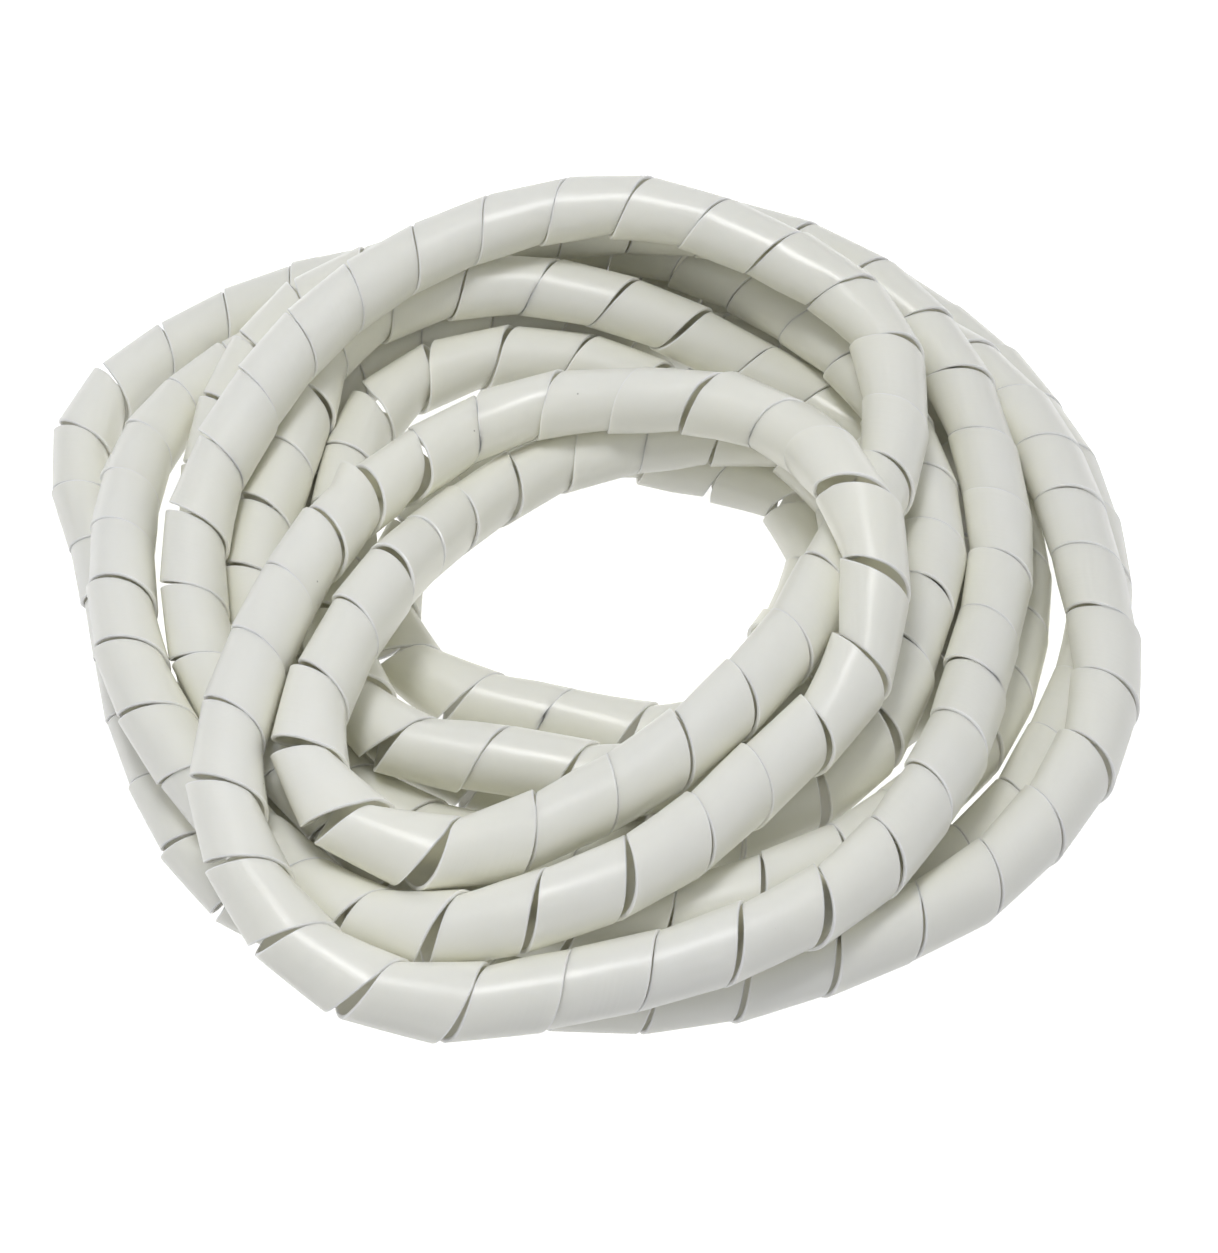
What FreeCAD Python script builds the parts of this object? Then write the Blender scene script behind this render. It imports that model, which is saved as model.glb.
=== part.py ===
import FreeCAD, Part
import math
import os

# Spiral-cut guard tube for young trees and vines: one long, limp polyethylene tube, slit in a
# helix from end to end and sold wound up in a loose coil. The coil lies on the plane z = 0.
# Millimetres, +Z up, origin under the middle of the coil's box.
#
# The tube is cut into stretches of one turn each, so that every stretch is a solid of its own.
# The slit is left out of these plain solids, except where the loose outer end hinges on it.

# ---- Sizes ---------------------------------------------------------------------------------
TUBE_OD = 25.0                  # outside diameter; the whole coil is laid out in tube diameters
WALL = 1.5                      # thickness of the strip that the tube is wound from
SLIT_GAP = 0.3                  # open slit between the coil and its loose outer end
COIL_MIDDLE = (0.696, 0.225)    # place of the winding's middle, in tube diameters
POINTS_PER_TURN = 16            # corner points of the route in one turn
FIRST_BEARING = -1              # bearing of the inner end, in steps anticlockwise from +X
ARC_SHARE = 0.45                # share of the shorter run that the arc at a corner takes up
LARGEST_SHARE = 0.49            # arcs with more of a run than this would reach one another
SMALLEST_RUN = 0.01             # a shorter straight run is left out

# ---- Winding -------------------------------------------------------------------------------
# One pair of rows for each turn, from the inner end outwards. The first row is the distance of
# the tube's centreline from the coil's middle at each bearing, and the second is its height
# above the ground, both in tube diameters. A height of 0.5 lies on the ground.
WINDING = [
    ([2.50, 2.95, 3.25, 3.25, 3.05, 3.35, 3.45, 3.40, 3.55, 3.80, 3.60, 2.95, 2.50, 2.65, 2.85, 3.15],
     [0.50, 0.50, 0.60, 0.75, 0.50, 0.50, 0.50, 0.50, 0.50, 0.50, 0.50, 0.50, 0.50, 0.50, 0.50, 0.50]),
    ([3.85, 4.05, 4.35, 4.30, 4.10, 4.55, 5.20, 5.60, 4.80, 4.30, 4.75, 5.00, 4.25, 4.25, 4.20, 3.95],
     [0.50, 0.50, 0.50, 0.50, 0.50, 1.00, 1.20, 1.05, 1.15, 1.35, 1.60, 1.40, 1.55, 1.45, 1.50, 1.60]),
    ([3.50, 3.55, 3.65, 3.30, 2.75, 2.55, 2.60, 2.55, 2.70, 3.05, 3.90, 6.75, 7.15, 5.10, 4.00, 3.45],
     [1.55, 1.40, 1.60, 1.80, 1.55, 1.30, 1.10, 1.15, 1.35, 1.80, 2.55, 2.60, 2.55, 2.45, 2.60, 2.55]),
    ([3.25, 3.65, 4.60, 5.70, 5.60, 6.05, 6.25, 6.25, 6.25, 6.65, 6.65, 6.35, 6.90, 6.85, 6.45, 6.00],
     [2.55, 2.45, 2.50, 2.75, 3.25, 3.40, 3.05, 2.85, 2.55, 1.95, 1.50, 1.60, 1.45, 1.45, 1.60, 0.85]),
    ([6.05, 6.20, 6.60, 6.45, 6.15, 5.60, 6.30, 6.75, 5.65, 5.05, 4.80, 4.35, 4.05, 3.85, 3.90, 4.35],
     [0.50, 0.50, 0.50, 0.50, 0.50, 0.75, 1.05, 0.65, 0.50, 0.50, 0.50, 0.50, 0.50, 0.50, 0.50, 0.50]),
    ([4.95, 5.10, 5.50, 5.35, 5.10, 5.25, 6.10, 6.80, 5.70, 5.70, 5.75, 5.50, 5.25, 4.95, 4.95, 5.10],
     [0.50, 0.50, 0.50, 0.50, 1.05, 1.90, 2.05, 1.75, 1.55, 1.40, 1.00, 0.50, 0.50, 0.50, 0.75, 1.40]),
    ([4.55, 4.75, 5.05, 5.50, 6.25, 7.35, 8.45, 9.35, 10.0, 7.90, 7.70, 8.00, 7.30, 7.45, 7.65, 7.80],
     [1.65, 1.50, 1.45, 1.70, 1.55, 1.50, 0.50, 0.50, 0.50, 0.50, 0.50, 0.50, 0.50, 0.55, 1.20, 1.30]),
    ([7.75, 7.05, 7.20, 7.35, 7.25, 6.65, 7.20, 8.30, 8.35, 7.75, 7.70, 7.45, 8.00, 6.85, 5.10, 4.70],
     [1.50, 1.55, 1.35, 1.20, 0.50, 0.50, 0.50, 0.50, 1.00, 1.65, 1.70, 1.35, 2.00, 2.65, 2.30, 2.50]),
    ([3.95, 3.05, 2.95, 2.75, 2.45, 2.50, 2.95, 3.35, 3.60, 4.25, 5.60, 8.15, 9.20, 7.80, 7.45, 6.40],
     [3.50, 3.55, 2.85, 2.70, 2.60, 2.35, 2.10, 1.90, 2.00, 2.45, 2.65, 2.50, 2.00, 1.85, 2.20, 2.00]),
    ([5.65, 5.80, 6.15, 6.75, 6.50, 6.60, 7.30, 7.85, 7.15, 6.45, 6.70, 6.65, 6.30, 6.10, 6.90, 7.05],
     [1.55, 1.45, 1.70, 2.15, 2.65, 2.45, 1.75, 1.55, 1.25, 0.65, 0.50, 0.50, 0.50, 0.50, 0.50, 0.50]),
    ([7.10, 7.55, 7.80, 8.25, 8.55],
     [0.50, 0.50, 0.50, 0.50, 0.50]),
]

OUTER_RADIUS = TUBE_OD / 2
BORE_RADIUS = OUTER_RADIUS - WALL


def route_points():
    """Corner points of the tube's route, from the inner end to the outer end."""
    points = []
    for distances, heights in WINDING:
        for distance, height in zip(distances, heights):
            bearing = (FIRST_BEARING + len(points)) * 2 * math.pi / POINTS_PER_TURN
            x = COIL_MIDDLE[0] + distance * math.cos(bearing)
            y = COIL_MIDDLE[1] + distance * math.sin(bearing)
            points.append(FreeCAD.Vector(x, y, height) * TUBE_OD)
    return points


def rounded_corner(before, corner, after):
    """Arc that is tangent to both runs at a corner, as large as the shorter run allows."""
    back = before - corner
    ahead = after - corner
    reach = min(ARC_SHARE, LARGEST_SHARE) * min(back.Length, ahead.Length)
    half_turn = (math.pi - back.getAngle(ahead)) / 2
    radius = reach / math.tan(half_turn)
    back.normalize()
    ahead.normalize()
    to_middle = (back + ahead).normalize()
    crown = corner + to_middle * (radius / math.cos(half_turn) - radius)
    return Part.Arc(corner + back * reach, crown, corner + ahead * reach), radius


def centreline(start, corners, end):
    """Wire of straight runs and arcs. The start lies on the first run and the end on the last,
    and where the end is the last arc's own end, no straight run follows it."""
    edges = []
    radii = []
    here = start
    for before, corner, after in zip(corners, corners[1:], corners[2:]):
        arc, radius = rounded_corner(before, corner, after)
        edges.append(Part.LineSegment(here, arc.StartPoint).toShape())
        edges.append(arc.toShape())
        here = arc.EndPoint
        radii.append(radius)
    if here.distanceToPoint(end) > SMALLEST_RUN:
        edges.append(Part.LineSegment(here, end).toShape())
    return Part.Wire(edges), radii


def tube_along(wire):
    """Hollow tube swept along a centreline."""
    first_edge = wire.Edges[0]
    start = first_edge.valueAt(first_edge.FirstParameter)
    direction = first_edge.tangentAt(first_edge.FirstParameter)
    skins = []
    for radius in (OUTER_RADIUS, BORE_RADIUS):
        section = Part.Wire(Part.makeCircle(radius, start, direction))
        skins.append(wire.makePipeShell([section], True, False))
    return skins[0].cut(skins[1])


def stretches(route):
    """Name, start, corners and end of every stretch, in order along the tube. One turn meets
    the next halfway along a run, and the mouth is all that is straight after the last arc."""
    hinge = len(route) - 2
    cuts = list(range(POINTS_PER_TURN, hinge - POINTS_PER_TURN // 2, POINTS_PER_TURN)) + [hinge]
    first = 0
    start = route[0]
    for number, cut in enumerate(cuts, start=1):
        middle = (route[cut - 1] + route[cut]) / 2
        yield f"tube_turn_{number:02d}", start, route[first:cut + 1], middle
        first = cut - 1
        start = middle
    bend_start = start + (route[hinge] - start).normalize() * SLIT_GAP
    mouth_start = rounded_corner(*route[-3:])[0].EndPoint
    yield "tube_end_bend", bend_start, route[hinge - 1:], mouth_start
    yield "tube_end_mouth", mouth_start, route[-2:], route[-1]


os.makedirs("parts", exist_ok=True)
ring_area = math.pi * (OUTER_RADIUS ** 2 - BORE_RADIUS ** 2)
total_length = 0.0
for name, start, corners, end in stretches(route_points()):
    wire, radii = centreline(start, corners, end)
    solid = tube_along(wire)
    solid.exportStep(os.path.join("parts", name + ".step"))
    total_length += wire.Length
    fill = solid.Volume / (ring_area * wire.Length)
    print(f"{name}: {wire.Length:.0f} mm, volume / (section x length) {fill:.4f}")
    print("   arc radii in mm:", ", ".join(f"{radius:.0f}" for radius in radii) or "straight")
print(f"whole tube: {total_length:.0f} mm")
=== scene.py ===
import math

import bpy
import numpy as np
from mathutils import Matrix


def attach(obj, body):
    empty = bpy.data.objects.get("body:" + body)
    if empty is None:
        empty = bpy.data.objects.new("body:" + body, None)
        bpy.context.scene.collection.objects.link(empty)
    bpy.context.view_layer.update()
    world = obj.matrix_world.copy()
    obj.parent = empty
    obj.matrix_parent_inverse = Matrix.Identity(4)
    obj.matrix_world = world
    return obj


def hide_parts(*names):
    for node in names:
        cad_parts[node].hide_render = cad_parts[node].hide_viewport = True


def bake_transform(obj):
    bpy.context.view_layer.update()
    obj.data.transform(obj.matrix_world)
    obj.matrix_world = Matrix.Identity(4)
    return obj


# Visual model of a spiral-cut tree guard tube, wound up in a loose coil. The tube is one strip
# of milky polyethylene. Each turn of the strip is stiff and stays straight along the tube, so
# the tube bends only at its slit, which gapes on the outside of a bend and laps on the inside.
# Everything is in metres, in the frame of the CAD model.

# ---- Sizes of the tube -----------------------------------------------------------------------
TUBE_OD = 0.025
WALL = 0.0015
STRIP_WIDTH = 0.0298            # of one turn of the strip, along the tube
SLIT_GAP = 0.0003               # open slit in a straight stretch
BEND_GROWTH = 0.30              # share of a bend's extra outside length that the pitch takes up
STRIP_STRETCH = 0.0012          # room that the strip's own give closes before the slit gapes
GAPING = 0.70                   # share of the rest of the room that shows as a gape
LAPPING = 0.50                  # share of what is short of room that shows as a lap
STRIP_GIVE = 0.10               # share of a bend that the strip itself takes up, across its width
LAP_LIFT = 0.0010               # how far a lapping edge moves out, and the edge under it in
LAP_STARTS = 0.0004             # gap at which the edges begin to slip past each other
LAP_TRAVEL = 0.0012             # further closing that brings them fully past
EDGE_ROUNDING = 0.00035
SHARP_EDGE = 38                 # degrees between faces, above which an edge is drawn sharp
END_TIP = 0.001                 # width left where the square cut ends take the strip to a tip
STEPS_PER_TURN = 44
FIRST_PHASE = 0.8               # radians around the tube, where the strip begins

# ---- Unevenness, each with the length of strip over which it comes and goes ----------------------
RADIUS_WANDER = (0.025, 0.30)       # share of the tube's radius
SIDE_WANDER = (0.0004, 0.07)
TILT_WANDER = (0.055, 0.09)         # slope of the strip against the tube
SEED = 7

# ---- Loose places --------------------------------------------------------------------------------
BLEND_HALF = 0.030              # the loose end bends over this much tube either side of its hinge
FLARE_POINT = 137               # corner of the route just before which the strip has sprung open
FLARE_BEFORE = 0.010
FLARE_HALF_LENGTH = 0.026       # of tube, either side of the place where it has sprung furthest
FLARE_REACH = (-0.0043, 0.0015, 0.0007)

# ---- Winding, the same as in the CAD model -----------------------------------------------------
# One pair of rows for each turn, from the inner end outwards. The first row is the distance of
# the tube's centreline from the coil's middle at each bearing, and the second is its height
# above the ground, both in tube diameters.
COIL_MIDDLE = (0.696, 0.225)
POINTS_PER_TURN = 16
FIRST_BEARING = -1
WINDING = [
    ([2.50, 2.95, 3.25, 3.25, 3.05, 3.35, 3.45, 3.40, 3.55, 3.80, 3.60, 2.95, 2.50, 2.65, 2.85, 3.15],
     [0.50, 0.50, 0.60, 0.75, 0.50, 0.50, 0.50, 0.50, 0.50, 0.50, 0.50, 0.50, 0.50, 0.50, 0.50, 0.50]),
    ([3.85, 4.05, 4.35, 4.30, 4.10, 4.55, 5.20, 5.60, 4.80, 4.30, 4.75, 5.00, 4.25, 4.25, 4.20, 3.95],
     [0.50, 0.50, 0.50, 0.50, 0.50, 1.00, 1.20, 1.05, 1.15, 1.35, 1.60, 1.40, 1.55, 1.45, 1.50, 1.60]),
    ([3.50, 3.55, 3.65, 3.30, 2.75, 2.55, 2.60, 2.55, 2.70, 3.05, 3.90, 6.75, 7.15, 5.10, 4.00, 3.45],
     [1.55, 1.40, 1.60, 1.80, 1.55, 1.30, 1.10, 1.15, 1.35, 1.80, 2.55, 2.60, 2.55, 2.45, 2.60, 2.55]),
    ([3.25, 3.65, 4.60, 5.70, 5.60, 6.05, 6.25, 6.25, 6.25, 6.65, 6.65, 6.35, 6.90, 6.85, 6.45, 6.00],
     [2.55, 2.45, 2.50, 2.75, 3.25, 3.40, 3.05, 2.85, 2.55, 1.95, 1.50, 1.60, 1.45, 1.45, 1.60, 0.85]),
    ([6.05, 6.20, 6.60, 6.45, 6.15, 5.60, 6.30, 6.75, 5.65, 5.05, 4.80, 4.35, 4.05, 3.85, 3.90, 4.35],
     [0.50, 0.50, 0.50, 0.50, 0.50, 0.75, 1.05, 0.65, 0.50, 0.50, 0.50, 0.50, 0.50, 0.50, 0.50, 0.50]),
    ([4.95, 5.10, 5.50, 5.35, 5.10, 5.25, 6.10, 6.80, 5.70, 5.70, 5.75, 5.50, 5.25, 4.95, 4.95, 5.10],
     [0.50, 0.50, 0.50, 0.50, 1.05, 1.90, 2.05, 1.75, 1.55, 1.40, 1.00, 0.50, 0.50, 0.50, 0.75, 1.40]),
    ([4.55, 4.75, 5.05, 5.50, 6.25, 7.35, 8.45, 9.35, 10.0, 7.90, 7.70, 8.00, 7.30, 7.45, 7.65, 7.80],
     [1.65, 1.50, 1.45, 1.70, 1.55, 1.50, 0.50, 0.50, 0.50, 0.50, 0.50, 0.50, 0.50, 0.55, 1.20, 1.30]),
    ([7.75, 7.05, 7.20, 7.35, 7.25, 6.65, 7.20, 8.30, 8.35, 7.75, 7.70, 7.45, 8.00, 6.85, 5.10, 4.70],
     [1.50, 1.55, 1.35, 1.20, 0.50, 0.50, 0.50, 0.50, 1.00, 1.65, 1.70, 1.35, 2.00, 2.65, 2.30, 2.50]),
    ([3.95, 3.05, 2.95, 2.75, 2.45, 2.50, 2.95, 3.35, 3.60, 4.25, 5.60, 8.15, 9.20, 7.80, 7.45, 6.40],
     [3.50, 3.55, 2.85, 2.70, 2.60, 2.35, 2.10, 1.90, 2.00, 2.45, 2.65, 2.50, 2.00, 1.85, 2.20, 2.00]),
    ([5.65, 5.80, 6.15, 6.75, 6.50, 6.60, 7.30, 7.85, 7.15, 6.45, 6.70, 6.65, 6.30, 6.10, 6.90, 7.05],
     [1.55, 1.45, 1.70, 2.15, 2.65, 2.45, 1.75, 1.55, 1.25, 0.65, 0.50, 0.50, 0.50, 0.50, 0.50, 0.50]),
    ([7.10, 7.55, 7.80, 8.25, 8.55],
     [0.50, 0.50, 0.50, 0.50, 0.50]),
]

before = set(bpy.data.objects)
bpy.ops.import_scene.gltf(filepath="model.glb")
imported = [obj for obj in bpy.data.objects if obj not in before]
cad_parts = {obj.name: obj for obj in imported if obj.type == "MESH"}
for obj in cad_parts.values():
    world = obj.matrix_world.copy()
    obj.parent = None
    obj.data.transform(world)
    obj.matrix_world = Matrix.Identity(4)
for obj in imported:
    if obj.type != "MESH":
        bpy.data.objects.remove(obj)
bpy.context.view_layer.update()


# ---- Centreline --------------------------------------------------------------------------------
def route_points():
    """Corner points of the tube's route, from the inner end to the outer end."""
    points = []
    for distances, heights in WINDING:
        for distance, height in zip(distances, heights):
            bearing = (FIRST_BEARING + len(points)) * 2 * math.pi / POINTS_PER_TURN
            x = COIL_MIDDLE[0] + distance * math.cos(bearing)
            y = COIL_MIDDLE[1] + distance * math.sin(bearing)
            points.append((x * TUBE_OD, y * TUBE_OD, height * TUBE_OD))
    return points


def smooth_line(points):
    """Points along a NURBS spline that has the route's corners as its control points."""
    curve = bpy.data.curves.new("route", "CURVE")
    curve.dimensions = "3D"
    curve.resolution_u = 12
    spline = curve.splines.new("NURBS")
    spline.points.add(len(points) - 1)
    for control, point in zip(spline.points, points):
        control.co = (*point, 1.0)
    spline.order_u = 3
    spline.use_endpoint_u = True
    holder = bpy.data.objects.new("route", curve)
    mesh = bpy.data.meshes.new_from_object(holder)
    line = np.array([vertex.co for vertex in mesh.vertices])
    bpy.data.objects.remove(holder)
    bpy.data.curves.remove(curve)
    bpy.data.meshes.remove(mesh)
    return line


class Centreline:
    """Place, direction and bending of the tube at any distance along it."""

    SPACING = 0.002
    HALF_CHORD = 0.011          # the stiff strip averages the route's direction over this much

    def __init__(self, line):
        steps = np.linalg.norm(np.diff(line, axis=0), axis=1)
        along = np.concatenate([[0.0], np.cumsum(steps)])
        self.length = along[-1]
        self.stations = np.arange(0.0, self.length, self.SPACING)
        self.places = self._between(along, line, self.stations)
        ahead = self._between(along, line, np.minimum(self.stations + self.HALF_CHORD, self.length))
        behind = self._between(along, line, np.maximum(self.stations - self.HALF_CHORD, 0.0))
        chord = ahead - behind
        self.directions = chord / np.linalg.norm(chord, axis=1)[:, None]
        self.bends = np.gradient(self.directions, self.SPACING, axis=0)
        self.sides = self._sides()

    @staticmethod
    def _between(along, values, stations):
        return np.stack([np.interp(stations, along, values[:, axis]) for axis in range(3)], axis=1)

    def _sides(self):
        """A side direction at each station that never twists about the tube."""
        side = np.cross(self.directions[0], (0.0, 0.0, 1.0))
        sides = []
        for direction in self.directions:
            side = side - direction * side.dot(direction)
            side = side / np.linalg.norm(side)
            sides.append(side)
        return np.array(sides)

    def nearest(self, point):
        """Station that is nearest to a point."""
        return self.stations[np.linalg.norm(self.places - np.array(point), axis=1).argmin()]

    def at(self, stations):
        """Places, directions, two side directions and bend vectors at the stations. The line
        runs straight on past its ends."""
        found = [self._between(self.stations, values, stations)
                 for values in (self.places, self.directions, self.sides, self.bends)]
        places, directions, sides, bends = found
        directions = directions / np.linalg.norm(directions, axis=1)[:, None]
        past = stations - np.clip(stations, 0.0, self.stations[-1])
        places = places + directions * past[:, None]
        sides = sides - directions * (sides * directions).sum(axis=1)[:, None]
        sides = sides / np.linalg.norm(sides, axis=1)[:, None]
        return places, directions, sides, np.cross(directions, sides), bends


# ---- Strip -------------------------------------------------------------------------------------
def smooth_step(share):
    """Ease a share from 0 to 1 in and out."""
    return share * share * (3 - 2 * share)


def wander(random, count, step, scale):
    """Slow random wander along the strip, between about -1 and 1, with one knot per scale."""
    knots = random.uniform(-1.0, 1.0, int(count * step / scale) + 4)
    position = np.arange(count) * step / scale
    cell = position.astype(int)
    share = smooth_step(position - cell)
    return knots[cell] * (1 - share) + knots[cell + 1] * share


def soft_positive(values, rounding=0.0003):
    """The positive part of some lengths, with its corner rounded off."""
    return (values + np.sqrt(values ** 2 + rounding ** 2)) / 2


def strip_turns(centre):
    """Strip angle and station of every step of the strip, from end to end. The pitch grows in
    a bend, where the slit gapes on the outside."""
    angle_step = 2 * math.pi / STEPS_PER_TURN
    window = round(STRIP_WIDTH / centre.SPACING)
    tightness = np.linalg.norm(centre.bends, axis=1)
    tightness = np.convolve(tightness, np.ones(window) / window, mode="same")
    pitches = (STRIP_WIDTH + SLIT_GAP) * (1 + BEND_GROWTH * tightness * TUBE_OD / 2)
    station = END_TIP - STRIP_WIDTH / 2
    stations = []
    while station < centre.length + STRIP_WIDTH / 2 - END_TIP:
        stations.append(station)
        station += np.interp(station, centre.stations, pitches) * angle_step / (2 * math.pi)
    stations = np.array(stations)
    return np.arange(len(stations)) * angle_step + FIRST_PHASE, stations


def section():
    """Outline of the strip's section, as shares of its half width and depths under its outside."""
    bevel = EDGE_ROUNDING / (STRIP_WIDTH / 2)
    outside = [(-1.0, EDGE_ROUNDING), (-1.0 + bevel, 0.0), (-0.5, 0.0), (0.0, 0.0),
               (0.5, 0.0), (1.0 - bevel, 0.0), (1.0, EDGE_ROUNDING)]
    inside = [(1.0, WALL - EDGE_ROUNDING), (1.0 - bevel, WALL), (0.0, WALL),
              (-1.0 + bevel, WALL), (-1.0, WALL - EDGE_ROUNDING)]
    return outside + inside


def strip_mesh(name, points, shares, stations):
    """Closed mesh through rings of points, with a flat cap at each end."""
    rings, width = points.shape[:2]
    faces = []
    for ring in range(rings - 1):
        for corner in range(width):
            following = (corner + 1) % width
            a = ring * width
            b = a + width
            faces.append((a + corner, a + following, b + following, b + corner))
    faces.append(tuple(range(width)))
    last = (rings - 1) * width
    faces.append(tuple(last + corner for corner in reversed(range(width))))
    mesh = bpy.data.meshes.new(name)
    mesh.from_pydata(points.reshape(-1, 3).tolist(), [], faces)
    mesh.update()
    mesh.polygons.foreach_set("use_smooth", [True] * len(mesh.polygons))
    mesh.set_sharp_from_angle(angle=math.radians(SHARP_EDGE))
    marks = {"across": np.tile(shares, rings), "along": np.repeat(stations, width)}
    for label, values in marks.items():
        layer = mesh.attributes.new(label, "FLOAT", "POINT")
        layer.data.foreach_set("value", values.astype(np.float32))
    obj = bpy.data.objects.new(name, mesh)
    bpy.context.collection.objects.link(obj)
    return obj


def build_strip(centre, route):
    """Rings of points along the strip, with their stations, places across it and outward
    directions."""
    random = np.random.default_rng(SEED)
    angles, stations = strip_turns(centre)
    count = len(stations)
    places, directions, sides, ups, bends = centre.at(stations)

    # small unevenness, as the strip was never wound quite evenly
    step = math.pi * TUBE_OD / STEPS_PER_TURN

    def sideways(amount, length):
        return amount * (sides * wander(random, count, step, length)[:, None]
                         + ups * wander(random, count, step, length)[:, None])

    amount, length = RADIUS_WANDER
    radius = TUBE_OD / 2 * (1.0 + amount * wander(random, count, step, length))
    places = places + sideways(*SIDE_WANDER)
    tilted = directions + sideways(*TILT_WANDER)
    tilted = tilted / np.linalg.norm(tilted, axis=1)[:, None]

    # one turn of the strip has sprung open, and its edge nearer the inner end stands out
    flare_at = centre.nearest(route[FLARE_POINT]) - FLARE_BEFORE
    sprung = smooth_step(np.clip(1 - np.abs(stations - flare_at) / FLARE_HALF_LENGTH, 0.0, 1.0))
    flare = sprung[:, None] * np.array(FLARE_REACH)

    # the strip winds round the tube as a left-handed helix
    outward = np.cos(angles)[:, None] * sides - np.sin(angles)[:, None] * ups

    # room for the strip at this side of the tube, and the gape or lap that the room leaves
    pitch = np.interp(np.arange(count) + STEPS_PER_TURN, np.arange(count), stations) - stations
    pitch[-STEPS_PER_TURN:] = pitch[-STEPS_PER_TURN - 1]
    room = pitch * (1 - (bends * outward).sum(axis=1) * TUBE_OD / 2)
    spare = room - STRIP_WIDTH
    gap = (SLIT_GAP + GAPING * soft_positive(spare - STRIP_STRETCH)
           - LAPPING * soft_positive(-spare - STRIP_STRETCH / 2))
    half_ahead = (room - gap) / 2
    half_behind = np.concatenate([half_ahead[:STEPS_PER_TURN], half_ahead[:-STEPS_PER_TURN]])
    lift = LAP_LIFT * smooth_step(np.clip((LAP_STARTS - gap) / LAP_TRAVEL, 0.0, 1.0))
    lift_before = np.concatenate([lift[:STEPS_PER_TURN], lift[:-STEPS_PER_TURN]])

    outline = section()
    points = np.zeros((count, len(outline), 3))
    for corner, (share, depth) in enumerate(outline):
        cone = np.where(share > 0, lift * share, lift_before * share)
        reach = radius + cone - depth
        half = half_ahead if share > 0 else half_behind
        across = np.clip(share * half, -stations, centre.length - stations)[:, None]
        points[:, corner] = (places + outward * reach[:, None] + tilted * across
                             + bends * (STRIP_GIVE * across ** 2 / 2) + flare * max(-share, 0.0))
    # nothing sinks into the ground
    points[:, :, 2] = np.maximum(points[:, :, 2], 0.0)
    return points, stations, np.array([share for share, depth in outline]), outward


# ---- Materials ---------------------------------------------------------------------------------
CLEARER_TINT = (0.90, 0.89, 0.74, 1.0)
MILKIER_TINT = (0.925, 0.915, 0.79, 1.0)
# painted highlight colour, mixed into the base colour along the strip's cut edges
PAINTED_EDGE_HIGHLIGHT = (0.97, 0.965, 0.90, 1.0)
SPECK_TINT = (0.25, 0.23, 0.18, 1.0)
ROUGHNESS = (0.29, 0.38)


def ramp(nodes, links, source, low, high, dark, light):
    """Map a value between two limits to a value between two others."""
    node = nodes.new("ShaderNodeMapRange")
    node.inputs["From Min"].default_value = low
    node.inputs["From Max"].default_value = high
    node.inputs["To Min"].default_value = dark
    node.inputs["To Max"].default_value = light
    links.new(source, node.inputs["Value"])
    return node.outputs["Result"]


def blend_colour(nodes, links, factor, first, second):
    """Mix two colours, each a constant or the output of another node."""
    node = nodes.new("ShaderNodeMix")
    node.data_type = "RGBA"
    links.new(factor, node.inputs["Factor"])
    for socket, colour in ((node.inputs[6], first), (node.inputs[7], second)):
        if isinstance(colour, tuple):
            socket.default_value = colour
        else:
            links.new(colour, socket)
    return node.outputs[2]


def attribute(nodes, name):
    """Output of a node that reads one of the strip's own values."""
    node = nodes.new("ShaderNodeAttribute")
    node.attribute_name = name
    return node.outputs["Fac"]


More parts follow.
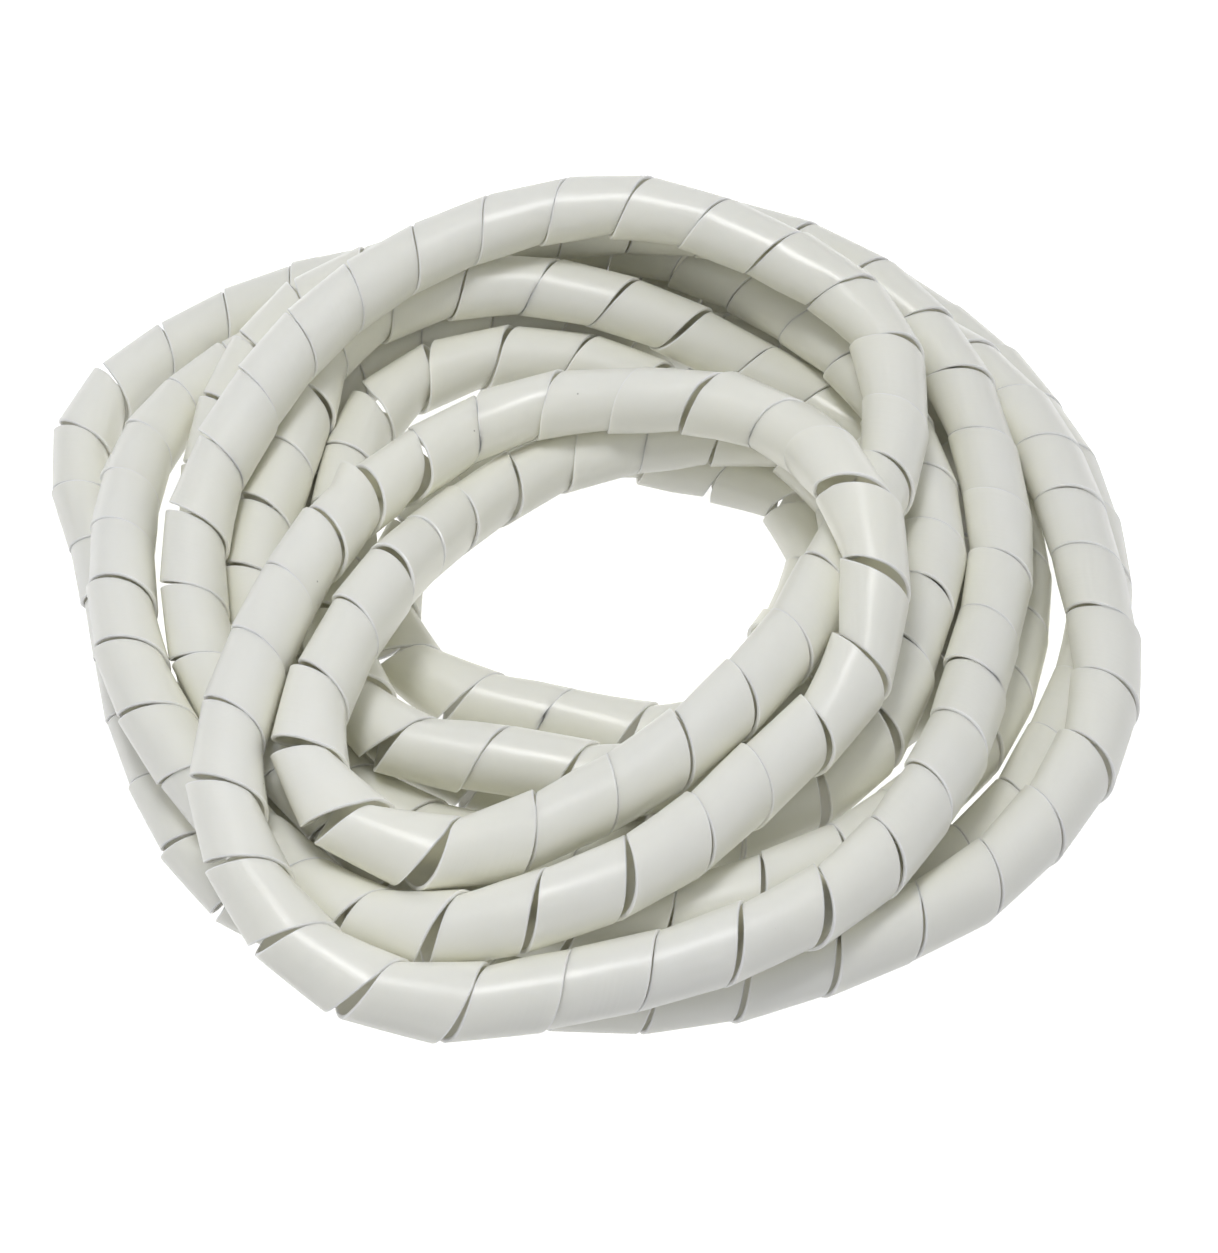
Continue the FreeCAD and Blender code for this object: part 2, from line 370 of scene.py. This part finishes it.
def tube_material():
    """Milky polyethylene: cloudy tint, faint drawing lines, a painted highlight along the cut edges
    and a few specks.
    """
    material = bpy.data.materials.new("milky_polyethylene")
    material.use_nodes = True
    nodes = material.node_tree.nodes
    links = material.node_tree.links
    shader = nodes["Principled BSDF"]
    shader.inputs["IOR"].default_value = 1.51
    shader.inputs["Subsurface Weight"].default_value = 0.95
    shader.inputs["Subsurface Radius"].default_value = (1.0, 0.97, 0.90)
    shader.inputs["Subsurface Scale"].default_value = 0.006

    place = nodes.new("ShaderNodeTexCoord").outputs["Object"]
    cloud = nodes.new("ShaderNodeTexNoise")
    cloud.inputs["Scale"].default_value = 14.0
    cloud.inputs["Detail"].default_value = 1.0
    links.new(place, cloud.inputs["Vector"])
    cloudiness = ramp(nodes, links, cloud.outputs["Fac"], 0.25, 0.75, 0.0, 1.0)
    tint = blend_colour(nodes, links, cloudiness, CLEARER_TINT, MILKIER_TINT)

    # painted highlight: the base colour turns paler along the strip's cut edges, where they catch the
    # light
    across = nodes.new("ShaderNodeMath")
    across.operation = "ABSOLUTE"
    links.new(attribute(nodes, "across"), across.inputs[0])
    edge = ramp(nodes, links, across.outputs[0], 0.95, 0.985, 0.0, 1.0)
    tint = blend_colour(nodes, links, edge, tint, PAINTED_EDGE_HIGHLIGHT)

    # specks of dust and dirt
    cell = nodes.new("ShaderNodeTexVoronoi")
    cell.inputs["Scale"].default_value = 75.0
    links.new(place, cell.inputs["Vector"])
    chance = nodes.new("ShaderNodeSeparateColor")
    links.new(cell.outputs["Color"], chance.inputs["Color"])
    rare = ramp(nodes, links, chance.outputs[0], 0.90, 0.91, 0.0, 1.0)
    small = ramp(nodes, links, cell.outputs["Distance"], 0.02, 0.035, 0.6, 0.0)
    speck = nodes.new("ShaderNodeMath")
    speck.operation = "MULTIPLY"
    links.new(rare, speck.inputs[0])
    links.new(small, speck.inputs[1])
    tint = blend_colour(nodes, links, speck.outputs[0], tint, SPECK_TINT)
    links.new(tint, shader.inputs["Base Color"])

    # drawing lines along the strip, and gloss that comes and goes
    lines = nodes.new("ShaderNodeCombineXYZ")
    links.new(attribute(nodes, "across"), lines.inputs["X"])
    links.new(attribute(nodes, "along"), lines.inputs["Y"])
    drawn = nodes.new("ShaderNodeTexNoise")
    drawn.inputs["Scale"].default_value = 9.0
    drawn.inputs["Detail"].default_value = 4.0
    links.new(lines.outputs[0], drawn.inputs["Vector"])
    gloss = ramp(nodes, links, cloud.outputs["Fac"], 0.25, 0.75, *ROUGHNESS)
    links.new(gloss, shader.inputs["Roughness"])
    bump = nodes.new("ShaderNodeBump")
    bump.inputs["Strength"].default_value = 0.12
    bump.inputs["Distance"].default_value = 0.0004
    links.new(drawn.outputs["Fac"], bump.inputs["Height"])
    links.new(bump.outputs["Normal"], shader.inputs["Normal"])
    return material


# ---- Pieces ------------------------------------------------------------------------------------
def tube_pieces(centre, route):
    """The coil and its loose end, parted across the strip, under the tube. The loose end starts
    one turn of the strip before its bend."""
    hinge = (np.array(route[-3]) + np.array(route[-2])) / 2
    along_hinge = np.array(route[-2]) - np.array(route[-3])
    along_hinge = along_hinge / np.linalg.norm(along_hinge)
    points, stations, shares, outward = build_strip(centre, route)
    parting = int(np.searchsorted(stations, centre.nearest(hinge) - BLEND_HALF - STRIP_WIDTH))
    parting += int(outward[parting:parting + STEPS_PER_TURN, 2].argmin())
    coil_strip = strip_mesh("coil_strip", points[:parting + 1], shares, stations[:parting + 1])
    loose_strip = strip_mesh("loose_strip", points[parting:], shares, stations[parting:])

    material = tube_material()
    for strip in (coil_strip, loose_strip):
        strip.data.materials.append(material)
    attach(coil_strip, "coil")
    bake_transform(loose_strip)
    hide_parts(*(f"tube_turn_{number:02d}" for number in range(1, 11)))
    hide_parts("tube_end_bend", "tube_end_mouth")


# ---- Floor, light and camera -------------------------------------------------------------------
def pale_floor():
    bpy.ops.mesh.primitive_plane_add(size=6.0, location=(0.0, 0.0, 0.0))
    floor = bpy.context.object
    floor.name = "floor"
    material = bpy.data.materials.new("pale_floor")
    material.use_nodes = True
    shader = material.node_tree.nodes["Principled BSDF"]
    shader.inputs["Base Color"].default_value = (0.90, 0.90, 0.90, 1.0)
    shader.inputs["Roughness"].default_value = 0.9
    shader.inputs["Emission Color"].default_value = (1.0, 1.0, 1.0, 1.0)
    shader.inputs["Emission Strength"].default_value = 0.75
    floor.data.materials.append(material)
    floor.visible_diffuse = False       # the tube is lit from below by the world instead


def area_light(name, location, size, power):
    """Round soft light that points at the middle of the ground under the coil."""
    light = bpy.data.lights.new(name, "AREA")
    light.shape = "DISK"
    light.size = size
    light.energy = power
    lamp = bpy.data.objects.new(name, light)
    bpy.context.collection.objects.link(lamp)
    lamp.location = location
    x, y, z = location
    lamp.rotation_euler = (math.atan2(math.hypot(x, y), z), 0.0, math.atan2(-x, y))


def soft_world():
    """Even light from all round."""
    world = bpy.data.worlds.new("studio")
    world.use_nodes = True
    background = world.node_tree.nodes["Background"]
    background.inputs["Strength"].default_value = 0.58
    background.inputs["Color"].default_value = (1.0, 1.0, 1.0, 1.0)
    bpy.context.scene.world = world


def front_camera():
    data = bpy.data.cameras.new("camera")
    data.lens = 77.6
    data.sensor_width = 36.0
    camera = bpy.data.objects.new("camera", data)
    bpy.context.collection.objects.link(camera)
    camera.location = (0.01118, -0.67701, 0.810)
    camera.rotation_euler = (math.radians(40.0), 0.0, 0.0)
    bpy.context.scene.camera = camera


# ---- Build -------------------------------------------------------------------------------------
route = route_points()
tube_pieces(Centreline(smooth_line(route)), route)
pale_floor()
area_light("key_light", (-0.15, -0.10, 1.30), 0.36, 7.5)
area_light("side_light", (-0.9, -0.5, 0.9), 0.5, 2.0)
soft_world()
front_camera()
bpy.context.scene.view_settings.view_transform = "Standard"
